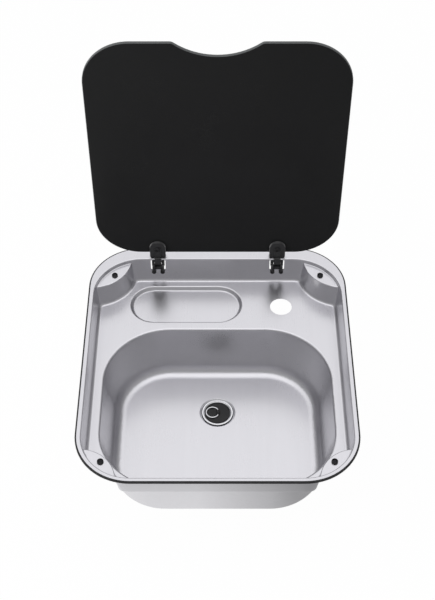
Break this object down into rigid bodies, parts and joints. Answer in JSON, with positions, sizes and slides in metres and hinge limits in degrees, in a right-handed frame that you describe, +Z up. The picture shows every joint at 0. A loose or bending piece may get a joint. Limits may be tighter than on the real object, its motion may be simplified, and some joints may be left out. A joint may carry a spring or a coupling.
{
  "type": "drop-in sink with glass lid",
  "caption": "Rectangular pressed steel drop-in sink with a side dish, tap hole and waste, closed by a hinged dark glass lid.",
  "frame": {"origin": "centre of the rim outline, on the worktop that the rim seal rests on", "axes": "+Z up, +Y towards the hinge side, +X to the right seen from the front"},
  "size_m": [0.4048, 0.4498, 0.5983],
  "materials": {
    "steel": "satin",
    "glass": "polished dark tint",
    "hinge_metal": "satin black",
    "screw_steel": "bright",
    "rubber": "matte",
    "waste_chrome": "polished",
    "waste_plastic": "matte",
    "black_screw": "black"
  },
  "bodies": {
    "sink": {"sink_pressing": "steel", "rim_seal": "rubber", "worktop_screws": "screw_steel", "lid_rests": "rubber", "hinge_base_left": "hinge_metal", "hinge_base_right": "hinge_metal", "hinge_base_screws": "black_screw", "hinge_base_nuts": "screw_steel", "hinge_pin_left": "black_screw", "hinge_pin_right": "black_screw", "hinge_washers": "screw_steel", "waste_flange": "waste_chrome", "waste_strainer": "screw_steel", "waste_seal": "rubber", "waste_body": "waste_plastic", "waste_screw": "screw_steel", "outlet_seal": "rubber", "outlet_tail": "waste_plastic", "outlet_nut": "waste_plastic"},
    "lid": {"lid_glass": "glass", "hinge_arm_left": "hinge_metal", "hinge_arm_right": "hinge_metal", "clamp_cap_left": "hinge_metal", "clamp_cap_right": "hinge_metal", "clamp_pads": "rubber", "clamp_screws": "black_screw"},
    "plug": {"plug_body": "rubber", "plug_seal": "rubber"},
    "ring": {"pull_ring": "waste_chrome"}
  },
  "joints": [
    {"name": "lid_hinge", "type": "hinge", "parent": "sink", "child": "lid", "pos_m": [0, 0.20345, -0.00235], "axis": [1, 0, 0], "range_deg": [0, 90.8]},
    {"name": "plug_lift", "type": "slide", "parent": "sink", "child": "plug", "axis": [0, 0, 1], "range_m": [0, 0.1]},
    {"name": "pull_ring_fold", "type": "hinge", "parent": "plug", "child": "ring", "pos_m": [0.0006, -0.0035, -0.1348], "axis": [0, 1, 0], "range_deg": [0, 180]}
  ]
}
